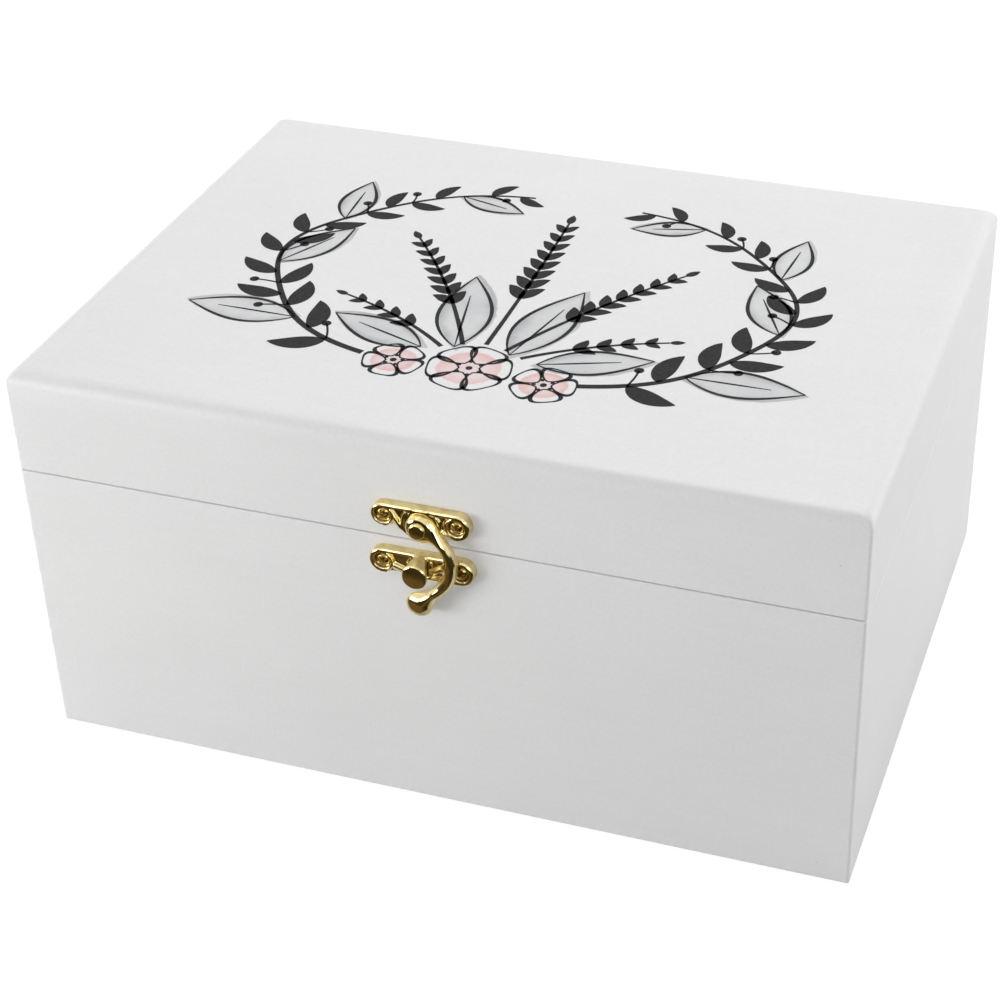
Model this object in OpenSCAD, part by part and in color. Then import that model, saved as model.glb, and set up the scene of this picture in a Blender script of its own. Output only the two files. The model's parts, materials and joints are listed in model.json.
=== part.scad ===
// Keepsake box: a painted wooden box with a hinged lid, two butt hinges let
// into the back rims, and a cast swing clasp on the front. Millimetres.
// The origin is the middle of the underside. X runs to the right, Y runs to
// the back and Z runs up. The lid is drawn closed, with its hook on the post.

/* [Box] */
// Outside width of the box, left to right
box_w = 270; // [220:1:340]
// Outside depth of the box, front to back
box_d = 200; // [160:1:260]
// Height of the closed box
box_h = 135; // [115:1:180]
// Height of the lid, from its rim to its top
lid_h = 35.2; // [30:0.1:50]
// Gap between the two rims when the lid is closed
seam_gap = 0.3; // [0.2:0.05:0.5]

/* [Boards] */
// Thickness of the walls of base and lid
wall_t = 9; // [8.5:0.5:14]
// Thickness of the lid's top panel
top_t = 9.5; // [7:0.5:12]
// Thickness of the floor panel
floor_t = 4; // [3:0.5:8]
// Wood of the front and back boards that covers the ends of the side boards
corner_lap = 3; // [2.5:0.5:5]
// How far the floor panel reaches into the rebate of each wall
floor_lap = 4.5; // [2:0.5:6]
// Play of the floor panel in its rebate, on each side
floor_play = 0.2; // [0.1:0.1:0.5]

/* [Edges] */
// Radius of the roundover along the lid's top edges
top_round = 4.5; // [2:0.5:6]
// Radius of the eased edges on both sides of the seam
seam_ease = 0.6; // [0.4:0.1:1]
// Radius of the eased upright corners
corner_ease = 1; // [0.5:0.25:2]
// Radius of the eased edges round the underside
foot_ease = 0.5; // [0.3:0.1:1]

/* [Hinges] */
// Length of a hinge along its pin
hinge_l = 25; // [18:1:36]
// Distance from the side of the box to the middle of a hinge
hinge_side = 45; // [30:1:70]
// Number of knuckles in the barrel of a hinge
knuckles = 5; // [3:2:7]
// Gap between two neighbouring knuckles
knuckle_gap = 0.15; // [0.1:0.05:0.3]
// Radius of the barrel
barrel_r = 1.7; // [1.5:0.1:2.2]
// Thickness of a leaf
leaf_t = 1; // [0.8:0.1:1.3]
// How far a leaf reaches into the rim, from the back of the box
leaf_reach = 7.5; // [6.8:0.1:8]
// Play of a leaf and its barrel in the wood
mortise_play = 0.15; // [0.1:0.05:0.3]
// Radius of a hinge pin
hinge_pin_r = 0.8; // [0.6:0.05:1]
// Radial clearance of a pin in its knuckles
hinge_pin_clear = 0.05; // [0.02:0.01:0.08]
// Radius of the peened heads at both ends of a pin
pin_head_r = 1.2; // [1.1:0.05:1.4]
// Thickness of a peened head
pin_head_t = 0.4; // [0.3:0.1:0.8]
// Angle at which the two eased back rims meet and stop the lid, in degrees
lid_stop = 101; // [96:1:106]

/* [Hinge screws] */
// Distance between the two screws of a leaf
hinge_screw_pitch = 16; // [10:0.5:20]
// Radius of the countersunk head
hinge_screw_head_r = 1.7; // [1.5:0.1:2]
// Radius of the shank
hinge_screw_r = 0.9; // [0.7:0.1:1.2]
// Length of the screw, head included
hinge_screw_l = 9; // [6:0.5:14]
// Radial clearance of a screw in the wood and in its plate
screw_clear = 0.05; // [0.03:0.01:0.1]

/* [Clasp plates] */
// How far the catch post sits to the right of the middle of the front
catch_x = 0.7; // [-2:0.1:2]
// How far the hook's pivot sits to the right of the catch post
pivot_shift = 0.7; // [0:0.1:1.2]
// Height of the hook's pivot above the middle of the seam
pivot_rise = 8; // [7.6:0.1:9.5]
// Depth of the catch post below the middle of the seam
post_drop = 7; // [6:0.1:8]
// Distance from the pivot to the lid plate's left screw
lid_screw_left = 12.1; // [11:0.1:13]
// Distance from the pivot to the lid plate's right screw
lid_screw_right = 11.1; // [10.6:0.1:12]
// Height of the lid plate's top edge above the pivot
lid_plate_rise = 5.6; // [4.8:0.1:6]
// Radius of the lid plate's left end
lobe_left_r = 3.8; // [3.6:0.1:4.2]
// Radius of the lid plate's right end, which hangs lower
lobe_right_r = 4.4; // [4:0.1:4.6]
// Distance between the two screws of the catch plate
catch_pitch = 25; // [24:0.2:27]
// Radius of the catch plate's round ends
catch_lobe_r = 4.25; // [4:0.05:4.6]
// Thickness of both plates
plate_t = 3.2; // [2.8:0.1:3.6]
// Width of the bevel round the face of both plates
plate_bevel = 0.6; // [0.4:0.1:0.8]
// Radius of the sunk seats round the screws
seat_r = 2.9; // [2.7:0.1:3]
// Depth of the sunk seats
seat_depth = 1.1; // [0.8:0.1:1.4]
// Width of the raised ridge round a seat
ridge_w = 0.8; // [0.6:0.1:1]
// Depth of the sunk fields between the seats and the middle
field_depth = 0.8; // [0.5:0.1:1.2]
// Width of the raised border above and below a field
field_border = 1.3; // [1:0.1:1.6]
// Radius of the round boss under the hook's pivot
boss_r = 6; // [5.6:0.1:6.4]
// Height of that boss above the face of its plate
boss_rise = 0.3; // [0.2:0.1:0.6]
// Distance from the pivot to where the plate's foot starts down to the boss
web_reach = 9.2; // [8:0.1:10]

/* [Catch post] */
// Radius of the post's round head
post_head_r = 4.1; // [3.6:0.1:4.2]
// Width of the post's foot, which is narrow so that the hook can reach in
post_foot_w = 3.1; // [2.4:0.1:4]
// Height over which the post widens from its foot to its head
post_flare_h = 5; // [4.6:0.1:5.4]
// Height of the upright rim of the head
post_rim_h = 0.5; // [0.3:0.1:1]
// Width of the bevel round the flat end of the head
post_bevel = 0.6; // [0.3:0.1:1]

/* [Hook] */
// Radius of the ring round the pivot
ring_r = 4.3; // [3.9:0.1:4.6]
// Thickness of the ring
ring_t = 2.3; // [2:0.1:2.8]
// Height of the ring's upright side under its domed face
ring_side = 0.6; // [0.3:0.1:1]
// Radius of the bend of the arm, along its middle
arm_r = 12.2; // [11.9:0.05:12.6]
// Lean of the bend's centre away from straight below the pivot, in degrees
arm_lean = 11.4; // [9:0.2:13]
// Angle through which the arm bends before it runs straight, in degrees
arm_turn = 125.2; // [120:0.2:130]
// Width of the arm beside the ring
arm_w = 3.6; // [3.2:0.1:4]
// Width of the arm beside the knob
tail_w = 3.4; // [2.8:0.1:3.6]
// How far the arm's inner side bulges towards the post
arm_swell = 0.8; // [0.4:0.1:1.2]
// Height of the arm's flat back above the back of the ring
arm_relief = 0.1; // [0.05:0.05:0.3]
// Height of the arm's crown above its flat back
arm_t = 3; // [2.6:0.1:3.4]
// Height of the arm's upright sides under the rounded crown
arm_side = 0.5; // [0.3:0.1:1]
// Radius of the finger knob
knob_r = 4.2; // [3.8:0.1:4.4]
// Thickness of the knob
knob_t = 4.4; // [4:0.1:5]
// Distance at which the knob swings past the round end of the catch plate
knob_clear = 0.35; // [0.3:0.05:0.8]
// Radius of the tip of the nose that rests against the post
nose_r = 0.9; // [0.7:0.1:1.2]
// Width of the nose at its root
nose_root_w = 3.4; // [2.6:0.1:4]
// Thickness of the nose
nose_t = 1.6; // [1.2:0.1:2]
// Height of the nose's tip above the middle of the post
nose_rise = 0.3; // [0:0.1:0.8]
// Gap between the nose and the foot of the post
nose_gap = 0.15; // [0.1:0.05:0.3]

/* [Hook pivot] */
// Radius of the rivet on which the hook turns
rivet_r = 1.5; // [1.3:0.1:1.8]
// Radial clearance of the rivet in ring and plate
rivet_clear = 0.05; // [0.02:0.01:0.08]
// Radius of the rivet's cap
rivet_cap_r = 2.6; // [2.3:0.1:3]
// Thickness of the rivet's cap
rivet_cap_t = 1.1; // [0.8:0.1:1.6]
// Play of the ring between its boss and the rivet's cap, on each side
ring_play = 0.1; // [0.05:0.05:0.2]

/* [Clasp screws] */
// Radius of the rounded screw head
clasp_screw_head_r = 2.3; // [2:0.1:2.6]
// Height of the screw head
clasp_screw_head_h = 1.2; // [0.8:0.1:1.4]
// Radius of the shank
clasp_screw_r = 1.1; // [0.9:0.1:1.3]
// Length of the shank under the head
clasp_screw_l = 9; // [7:0.5:10]
// Width of the two slots of the cross recess
cross_w = 0.6; // [0.4:0.1:0.8]
// Depth of the cross recess
cross_depth = 0.7; // [0.5:0.1:0.9]

/* [Hidden] */

$fn = 64;
paint = "WhiteSmoke";
brass = "Goldenrod";
// Spare length that lets a cutting shape run past the face it opens
over = 1;

// Heights of the base, the seam and the lid
base_h = box_h - lid_h - seam_gap;
seam_z = base_h + seam_gap / 2;
lid_z = base_h + seam_gap;
rail_h = lid_h - top_t;
inner_w = box_w - 2 * wall_t;
inner_d = box_d - 2 * wall_t;

// Depth of the pins' axis inside the back face. Each eased back edge is a
// quarter circle, and the two touch when the lid has turned by lid_stop.
half_stop = lid_stop / 2;
hinge_inset = (seam_ease * (sin(half_stop) + cos(half_stop) - 1)
    + seam_gap / 2 * cos(half_stop)) / sin(half_stop);
pin_y = box_d / 2 - hinge_inset;
hinge_x = box_w / 2 - hinge_side;
knuckle_l = (hinge_l - (knuckles - 1) * knuckle_gap) / knuckles;
leaf_end_y = box_d / 2 - leaf_reach;
hinge_screw_y = (leaf_end_y + pin_y - barrel_r) / 2;
hinge_screw_cone_h = hinge_screw_head_r - hinge_screw_r;
screw_point = 2;

// Places on the front, as x to the right and z up
front_y = -box_d / 2;
pivot_x = catch_x + pivot_shift;
pivot_z = seam_z + pivot_rise;
post_z = seam_z - post_drop;

// Heights above the front face
boss_top = plate_t + boss_rise;
seat_floor = plate_t - seat_depth;
hook_back = boss_top + ring_play;
cap_back = hook_back + ring_t + ring_play;
arm_back = hook_back + arm_relief;
head_z = plate_t + post_flare_h;
knob_mid = hook_back + ring_t / 5;

// The hook, with its pivot at the origin
bend_x = -arm_r * sin(arm_lean);
bend_y = -arm_r * cos(arm_lean);
post_x = -pivot_shift;
post_y = -(pivot_rise + post_drop);
// Angles along the bend, measured at its centre from the x axis
arm_from = 90 - arm_lean;
arm_to = arm_from - arm_turn;
// The arm starts inside the wall of the ring, clear of the bore
arm_start_l = rivet_r + rivet_clear + 0.6 * (ring_r - rivet_r);
arm_start = arm_start_l / arm_r * 180 / PI;
// The tail runs on from the end of the bend until the knob is far enough out
// to swing past the catch plate
tail_way = [sin(arm_to), -cos(arm_to)];
tail_from = [bend_x + arm_r * cos(arm_to), bend_y + arm_r * sin(arm_to)];
knob_reach = norm([post_x + catch_pitch / 2, post_y]) + catch_lobe_r + knob_clear
    + knob_r;
tail_l = sqrt(pow(tail_from * tail_way, 2) - tail_from * tail_from
    + pow(knob_reach, 2)) - tail_from * tail_way;
knob_at = tail_from + tail_l * tail_way;
arm_l = arm_r * arm_turn * PI / 180 + tail_l;
arm_steps = 24;
tail_steps = 6;
crown_steps = 8;
// Length over which the ring narrows to the arm
blend_l = 2 * ring_r;
// The nose grows out of the bend at this angle
nose_at = arm_to + 0.42 * arm_turn;
// Half the width of the post at the height of the nose's face
post_half_at_nose = post_foot_w / 2 + (post_head_r - post_foot_w / 2)
    * (hook_back + nose_t - plate_t) / post_flare_h;

// A rectangle from z = 0 up to h, w wide, with rounded corners
module eased_rect(w, h, top_r, foot_r) {
    difference() {
        translate([-w / 2, 0])
            square([w, h]);
        for (side = [-1, 1]) {
            translate([side * w / 2, h])
                corner_waste(-side, -1, top_r);
            translate([side * w / 2, 0])
                corner_waste(-side, 1, foot_r);
        }
    }
}

// What is cut off a square corner to round it; sx and sy point inwards
module corner_waste(sx, sy, r) {
    difference() {
        translate([-r, -r])
            square(2 * r);
        translate([sx * r, sy * r])
            circle(r);
        translate([sx > 0 ? r : -3 * r, -2 * r])
            square([2 * r, 4 * r]);
        translate([-2 * r, sy > 0 ? r : -3 * r])
            square([4 * r, 2 * r]);
    }
}

// The outside of base or lid: a block eased along all its edges
module eased_block(z, h, top_r, foot_r) {
    translate([0, 0, z])
        intersection() {
            linear_extrude(h)
                translate([0, -box_d / 2])
                    eased_rect(box_w, box_d, corner_ease, corner_ease);
            translate([0, box_d / 2, 0])
                rotate([90, 0, 0])
                    linear_extrude(box_d)
                        eased_rect(box_w, h, top_r, foot_r);
            translate([-box_w / 2, 0, 0])
                rotate([90, 0, 90])
                    linear_extrude(box_w)
                        eased_rect(box_d, h, top_r, foot_r);
        }
}

module base_block() {
    eased_block(0, base_h, seam_ease, foot_ease);
}

module lid_block() {
    eased_block(lid_z, lid_h, top_round, seam_ease);
}

// A front or back board with a rebate at both ends for the side boards;
// side is -1 for the front and 1 for the back
module long_board(side, z, h) {
    difference() {
        translate([-box_w / 2, side > 0 ? box_d / 2 - wall_t : -box_d / 2, z])
            cube([box_w, wall_t, h]);
        for (end = [-1, 1])
            translate([end > 0 ? inner_w / 2 : -box_w / 2 - over,
                       side > 0 ? inner_d / 2 - over : -box_d / 2 + corner_lap,
                       z - over])
                cube([wall_t + over, wall_t - corner_lap + over, h + 2 * over]);
    }
}

// A side board, held between the rebates; side is -1 left and 1 right
module side_board(side, z, h) {
    translate([side > 0 ? inner_w / 2 : -box_w / 2, -box_d / 2 + corner_lap, z])
        cube([wall_t, box_d - 2 * corner_lap, h]);
}

// The rebate for the floor, round the foot of all four walls
module floor_rebate() {
    translate([-inner_w / 2 - floor_lap, -inner_d / 2 - floor_lap, -over])
        cube([inner_w + 2 * floor_lap, inner_d + 2 * floor_lap, floor_t + over]);
}

// Puts a shape drawn flat, with z as its height, on the front of the box
module on_front(x, z) {
    translate([x, front_y, z])
        rotate([90, 0, 0])
            children();
}

// Repeats a shape at both screws of the lid's plate
module on_lid_screws() {
    on_front(pivot_x - lid_screw_left, pivot_z + lid_plate_rise - lobe_left_r)
        children();
    on_front(pivot_x + lid_screw_right, pivot_z + lid_plate_rise - lobe_right_r)
        children();
}

// Repeats a shape at both screws of the catch plate
module on_catch_screws() {
    on_front(catch_x, post_z)
        pair(catch_pitch)
            children();
}

// Repeats a shape at both screws of the catch plate or of a leaf
module pair(pitch) {
    for (side = [-1, 1])
        translate([side * pitch / 2, 0, 0])
            children();
}

// Turns what is drawn for the base over the seam to the lid
module over_seam() {
    translate([0, 0, seam_z])
        mirror([0, 0, 1])
            translate([0, 0, -seam_z])
                children();
}

// The wood that a hinge leaf and the barrel need gone from the base's rim
module hinge_mortise(x) {
    translate([x - hinge_l / 2 - mortise_play, leaf_end_y - mortise_play,
               base_h - leaf_t])
        cube([hinge_l + 2 * mortise_play, leaf_reach + mortise_play + over,
              leaf_t + over]);
    translate([x, pin_y, seam_z])
        rotate([0, 90, 0])
            cylinder(r = barrel_r + mortise_play,
                     h = hinge_l + 2 * (pin_head_t + mortise_play), center = true);
    translate([x, hinge_screw_y, base_h - hinge_screw_l])
        pair(hinge_screw_pitch)
            cylinder(r = hinge_screw_r + screw_clear, h = hinge_screw_l + over);
}

// The pilot holes of a clasp plate's screws, with the plate's back at z = 0
module pilots() {
    translate([0, 0, seat_floor - clasp_screw_l])
        cylinder(r = clasp_screw_r + screw_clear, h = clasp_screw_l);
}

module base_front() {
    color(paint)
        difference() {
            intersection() {
                base_block();
                long_board(-1, 0, base_h);
            }
            floor_rebate();
            on_catch_screws()
                pilots();
        }
}

module base_back() {
    color(paint)
        difference() {
            intersection() {
                base_block();
                long_board(1, 0, base_h);
            }
            floor_rebate();
            hinge_mortise(-hinge_x);
            hinge_mortise(hinge_x);
        }
}

module base_side(side) {
    color(paint)
        difference() {
            intersection() {
                base_block();
                side_board(side, 0, base_h);
            }
            floor_rebate();
        }
}

module base_floor() {
    reach = floor_lap - floor_play;
    color(paint)
        translate([-inner_w / 2 - reach, -inner_d / 2 - reach, 0])
            cube([inner_w + 2 * reach, inner_d + 2 * reach, floor_t]);
}

module lid_top() {
    color(paint)
        intersection() {
            lid_block();
            translate([-box_w / 2, -box_d / 2, lid_z + rail_h])
                cube([box_w, box_d, top_t]);
        }
}

module lid_front() {
    color(paint)
        difference() {
            intersection() {
                lid_block();
                long_board(-1, lid_z, rail_h);
            }
            on_lid_screws()
                pilots();
        }
}

module lid_back() {
    color(paint)
        difference() {
            intersection() {
                lid_block();
                long_board(1, lid_z, rail_h);
            }
            over_seam() {
                hinge_mortise(-hinge_x);
                hinge_mortise(hinge_x);
            }
        }
}

module lid_side(side) {
    color(paint)
        intersection() {
            lid_block();
            side_board(side, lid_z, rail_h);
        }
}

// One leaf as it lies in the base's rim. It owns every second knuckle,
// from the first one on, or from the second one where first is 1.
module leaf(x, first) {
    step = knuckle_l + knuckle_gap;
    color(brass)
        difference() {
            union() {
                translate([x - hinge_l / 2, leaf_end_y, base_h - leaf_t])
                    cube([hinge_l, pin_y - leaf_end_y, leaf_t]);
                for (i = [first : 2 : knuckles - 1])
                    knuckle(x - hinge_l / 2 + i * step, knuckle_l, barrel_r);
            }
            for (i = [1 - first : 2 : knuckles - 1])
                knuckle(x - hinge_l / 2 + i * step - knuckle_gap,
                        knuckle_l + 2 * knuckle_gap, barrel_r + mortise_play);
            knuckle(x - hinge_l / 2 - over, hinge_l + 2 * over,
                    hinge_pin_r + hinge_pin_clear);
            translate([x, hinge_screw_y, base_h])
                pair(hinge_screw_pitch)
                    countersink();
        }
}

// A cylinder along the pins' axis, from x on
module knuckle(x, l, r) {
    translate([x, pin_y, seam_z])
        rotate([0, 90, 0])
            cylinder(r = r, h = l);
}

// The hole of a countersunk screw, with the leaf's face at z = 0
module countersink() {
    rotate_extrude()
        polygon([[0, -leaf_t - over],
                 [hinge_screw_r + screw_clear, -leaf_t - over],
                 [hinge_screw_r + screw_clear, -hinge_screw_cone_h],
                 [hinge_screw_head_r + screw_clear, 0],
                 [hinge_screw_head_r + screw_clear, over],
                 [0, over]]);
}

module hinge_pin(x) {
    color(brass)
        translate([x - hinge_l / 2 - pin_head_t, pin_y, seam_z])
            rotate([0, 90, 0])
                rotate_extrude()
                    polygon([[0, 0], [hinge_pin_r, 0], [pin_head_r, pin_head_t],
                             [hinge_pin_r, pin_head_t],
                             [hinge_pin_r, pin_head_t + hinge_l],
                             [pin_head_r, pin_head_t + hinge_l],
                             [hinge_pin_r, 2 * pin_head_t + hinge_l],
                             [0, 2 * pin_head_t + hinge_l]]);
}

// The two arms of a cross recess, cut down from z = 0
module cross_recess(reach) {
    for (turn = [0, 90])
        rotate(turn)
            translate([-reach, -cross_w / 2, -cross_depth])
                cube([2 * reach, cross_w, cross_depth + over]);
}

// A countersunk screw, with its head's face at z = 0
module hinge_screw() {
    difference() {
        rotate_extrude()
            polygon([[0, 0], [hinge_screw_head_r, 0],
                     [hinge_screw_r, -hinge_screw_cone_h],
                     [hinge_screw_r, screw_point - hinge_screw_l],
                     [0, -hinge_screw_l]]);
        cross_recess(hinge_screw_head_r * 0.6);
    }
}

// The four screws of both hinges, as they stand in the base
module hinge_screws() {
    color(brass)
        for (side = [-1, 1])
            translate([side * hinge_x, hinge_screw_y, base_h])
                pair(hinge_screw_pitch)
                    hinge_screw();
}

// A round-headed screw that bears on the floor of its sunk seat
module clasp_screw() {
    dome_r = (pow(clasp_screw_head_r, 2) + pow(clasp_screw_head_h, 2))
        / 2 / clasp_screw_head_h;
    translate([0, 0, seat_floor])
        difference() {
            union() {
                intersection() {
                    translate([0, 0, clasp_screw_head_h - dome_r])
                        sphere(dome_r);
                    cylinder(r = clasp_screw_head_r, h = clasp_screw_head_h);
                }
                rotate_extrude()
                    polygon([[0, over / 2], [clasp_screw_r, over / 2],
                             [clasp_screw_r, screw_point - clasp_screw_l],
                             [0, -clasp_screw_l]]);
            }
            translate([0, 0, clasp_screw_head_h])
                cross_recess(clasp_screw_head_r * 0.6);
        }
}

module clasp_lid_screws() {
    color(brass)
        on_lid_screws()
            clasp_screw();
}

module clasp_catch_screws() {
    color(brass)
        on_catch_screws()
            clasp_screw();
}

// A disc with a bevelled face
module bevelled_disc(r, h, bevel) {
    rotate_extrude()
        polygon([[0, 0], [r, 0], [r, h - bevel], [r - bevel, h], [0, h]]);
}

// A straight bar along x with a bevelled face, from x0 to x1 and y0 to y1
module bevelled_bar(x0, x1, y0, y1) {
    translate([x0, 0, 0])
        rotate([90, 0, 90])
            linear_extrude(x1 - x0)
                polygon([[y0, 0], [y1, 0], [y1, plate_t - plate_bevel],
                         [y1 - plate_bevel, plate_t], [y0 + plate_bevel, plate_t],
                         [y0, plate_t - plate_bevel]]);
}

// A screw's sunk seat with the hole for its shank
module seat() {
    translate([0, 0, seat_floor])
        cylinder(r = seat_r, h = seat_depth + over);
    translate([0, 0, -over])
        cylinder(r = clasp_screw_r + screw_clear, h = plate_t + over);
}

// A sunk field with the given corners. It stops at the ridge round the seat at
// seat_at, and the child is the island that it flows round.
module field(corners, seat_at) {
    translate([0, 0, plate_t - field_depth])
        linear_extrude(field_depth + over)
            difference() {
                polygon(corners);
                translate(seat_at)
                    circle(seat_r + ridge_w);
                children();
            }
}

// The corners of a field from x0 to x1 and y0 to y1
function oblong(x0, x1, y0, y1) = [[x0, y0], [x1, y0], [x1, y1], [x0, y1]];

// The outline between the foot of the lid plate's bar and its boss, down two
// lines that touch the boss
module web(foot) {
    d = norm([web_reach, foot]);
    touch = atan2(foot, web_reach) - acos(boss_r / d);
    x = boss_r * cos(touch);
    y = boss_r * sin(touch);
    polygon([[-web_reach, foot], [-x, y], [x, y], [web_reach, foot]]);
}

module clasp_lid_plate() {
    left = [-lid_screw_left, lid_plate_rise - lobe_left_r];
    right = [lid_screw_right, lid_plate_rise - lobe_right_r];
    bar_foot = lid_plate_rise - 2 * lobe_left_r;
    color(brass)
        on_front(pivot_x, pivot_z)
            difference() {
                union() {
                    translate(left)
                        bevelled_disc(lobe_left_r, plate_t, plate_bevel);
                    translate(right)
                        bevelled_disc(lobe_right_r, plate_t, plate_bevel);
                    bevelled_bar(left[0], right[0], bar_foot, lid_plate_rise);
                    linear_extrude(plate_t - plate_bevel)
                        web(bar_foot);
                    difference() {
                        bevelled_disc(boss_r, boss_top, plate_bevel + boss_rise);
                        translate([-boss_r, lid_plate_rise, -over])
                            cube([2 * boss_r, boss_r, boss_top + 2 * over]);
                    }
                }
                translate(left)
                    seat();
                translate(right)
                    seat();
                field([[left[0], lid_plate_rise - field_border],
                       [0, lid_plate_rise - field_border], [-boss_r, bar_foot]],
                      left)
                    circle(boss_r);
                field(oblong(0, right[0], bar_foot + field_border,
                             lid_plate_rise - field_border), right)
                    circle(boss_r);
                translate([0, 0, -over])
                    cylinder(r = rivet_r + rivet_clear, h = boss_top + 2 * over);
            }
}

// The post stands on a narrow foot as high as its plate. Its two sides lean
// out to a round head with a bevelled flat end.
module catch_post() {
    intersection() {
        cylinder(r = post_head_r, h = head_z);
        translate([0, post_head_r, 0])
            rotate([90, 0, 0])
                linear_extrude(2 * post_head_r)
                    polygon([[-post_foot_w / 2, 0], [post_foot_w / 2, 0],
                             [post_foot_w / 2, plate_t], [post_head_r, head_z],
                             [-post_head_r, head_z], [-post_foot_w / 2, plate_t]]);
    }
    translate([0, 0, head_z])
        bevelled_disc(post_head_r, post_rim_h + post_bevel, post_bevel);
}

module clasp_catch_plate() {
    side = catch_pitch / 2;
    reach = catch_lobe_r - field_border;
    color(brass)
        on_front(catch_x, post_z) {
            difference() {
                union() {
                    pair(catch_pitch)
                        bevelled_disc(catch_lobe_r, plate_t, plate_bevel);
                    bevelled_bar(-side, side, -catch_lobe_r, catch_lobe_r);
                }
                pair(catch_pitch)
                    seat();
                field(oblong(-side, 0, -reach, reach), [-side, 0])
                    circle(post_head_r);
                field(oblong(0, side, -reach, reach), [side, 0])
                    circle(post_head_r);
            }
            catch_post();
        }
}

module clasp_rivet() {
    color(brass)
        on_front(pivot_x, pivot_z) {
            cylinder(r = rivet_r, h = cap_back + rivet_cap_t / 2);
            translate([0, 0, cap_back])
                bevelled_disc(rivet_cap_r, rivet_cap_t, rivet_cap_t / 3);
        }
}

// Half the width of the arm at a length d from the pivot: it grows out of the
// ring and narrows evenly to the knob
function arm_half(d) = (arm_w + (tail_w - arm_w) * d / arm_l) / 2
    + (ring_r - arm_w / 2) * hump(d, -blend_l, blend_l);

// The arm's inner side lies further from the middle, with a bulge by the post
function arm_inner(d) = arm_half(d) + arm_swell * hump(d, blend_l, arm_l - knob_r);

// A smooth rise and fall between from and to, 1 in the middle and 0 outside
function hump(d, from, to) =
    d < from || d > to ? 0 : (1 - cos(360 * (d - from) / (to - from))) / 2;

// Places along the middle of the arm, as [x, y, direction of its outer side,
// length from the pivot]
arm_middle = [
    for (i = [0 : arm_steps])
        let (turned = arm_start + (arm_turn - arm_start) * i / arm_steps,
             a = arm_from - turned)
            [bend_x + arm_r * cos(a), bend_y + arm_r * sin(a), a,
             arm_r * turned * PI / 180],
    for (i = [1 : tail_steps])
        let (d = tail_l * i / tail_steps, at = tail_from + d * tail_way)
            [at[0], at[1], arm_to, arm_l - tail_l + d]
];

// The arm's section, as [part of the half width, height], from the outer
// bottom edge over the rounded crown to the inner bottom edge
arm_section = [
    [1, 0],
    for (i = [0 : crown_steps])
        let (t = 180 * i / crown_steps)
            [cos(t), arm_side + (arm_t - arm_side) * sin(t)],
    [-1, 0]
];

// The arm: its section carried along its middle and widened on the way
module hook_arm() {
    rings = len(arm_middle);
    k = len(arm_section);
    points = [
        for (i = [0 : rings - 1], p = arm_section)
            let (m = arm_middle[i],
                 n = p[0] * (p[0] > 0 ? arm_half(m[3]) : arm_inner(m[3])))
                [m[0] + n * cos(m[2]), m[1] + n * sin(m[2]), arm_back + p[1]]
    ];
    sides = [
        for (i = [0 : rings - 2], j = [0 : k - 1])
            let (a = i * k + j, b = i * k + (j + 1) % k)
                each [[a, b + k, b], [a, a + k, b + k]]
    ];
    first = [for (j = [1 : k - 2]) [0, j, j + 1]];
    end = (rings - 1) * k;
    last = [for (j = [1 : k - 2]) [end, end + j + 1, end + j]];
    polyhedron(points, concat(sides, first, last));
}

// The nose: a tapered tooth from the arm towards the post. Its round tip
// stands square to the flat side of the post's foot.
module hook_nose() {
    root = [bend_x + arm_r * cos(nose_at), bend_y + arm_r * sin(nose_at)];
    tip = [post_x + post_half_at_nose + nose_gap + nose_r, post_y + nose_rise];
    side = [tip[1] - root[1], root[0] - tip[0]] / norm(root - tip);
    translate([0, 0, hook_back]) {
        translate(tip)
            cylinder(r = nose_r, h = nose_t);
        linear_extrude(nose_t)
            polygon([tip + nose_r * side, tip - nose_r * side,
                     root - nose_root_w / 2 * side, root + nose_root_w / 2 * side]);
    }
}

// The finger knob: a flat ball with a round edge
module hook_knob() {
    edge = knob_t / 2;
    translate([knob_at[0], knob_at[1], knob_mid])
        rotate_extrude() {
            translate([knob_r - edge, 0])
                intersection() {
                    circle(edge);
                    translate([0, -edge])
                        square([edge, 2 * edge]);
                }
            translate([0, -edge])
                square([knob_r - edge, 2 * edge]);
        }
}

// The ring: its face is a quarter of an ellipse, from the low upright side in
// to a flat under the rivet's cap
module hook_ring() {
    flat_r = (rivet_r + rivet_cap_r) / 2;
    rotate_extrude()
        polygon([[0, 0], [ring_r, 0],
                 for (i = [0 : crown_steps])
                     let (t = 90 * i / crown_steps)
                         [flat_r + (ring_r - flat_r) * cos(t),
                          ring_side + (ring_t - ring_side) * sin(t)],
                 [0, ring_t]]);
}

module clasp_hook() {
    color(brass)
        on_front(pivot_x, pivot_z) {
            difference() {
                translate([0, 0, hook_back])
                    hook_ring();
                cylinder(r = rivet_r + rivet_clear, h = cap_back + over);
            }
            hook_arm();
            hook_nose();
            hook_knob();
        }
}

base_front();
base_back();
base_side(-1);  // base_left
base_side(1);  // base_right
base_floor();
lid_top();
lid_front();
lid_back();
lid_side(-1);  // lid_left
lid_side(1);  // lid_right
leaf(-hinge_x, 0);  // left_hinge_base_leaf
over_seam() leaf(-hinge_x, 1);  // left_hinge_lid_leaf
hinge_pin(-hinge_x);  // left_hinge_pin
leaf(hinge_x, 0);  // right_hinge_base_leaf
over_seam() leaf(hinge_x, 1);  // right_hinge_lid_leaf
hinge_pin(hinge_x);  // right_hinge_pin
hinge_screws();  // hinge_base_screws
over_seam() hinge_screws();  // hinge_lid_screws
clasp_lid_plate();
clasp_rivet();
clasp_hook();
clasp_catch_plate();
clasp_lid_screws();
clasp_catch_screws();
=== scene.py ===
import json
import bmesh
import bpy
import numpy as np
from math import pi, radians
from mathutils import Matrix, Vector


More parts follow.
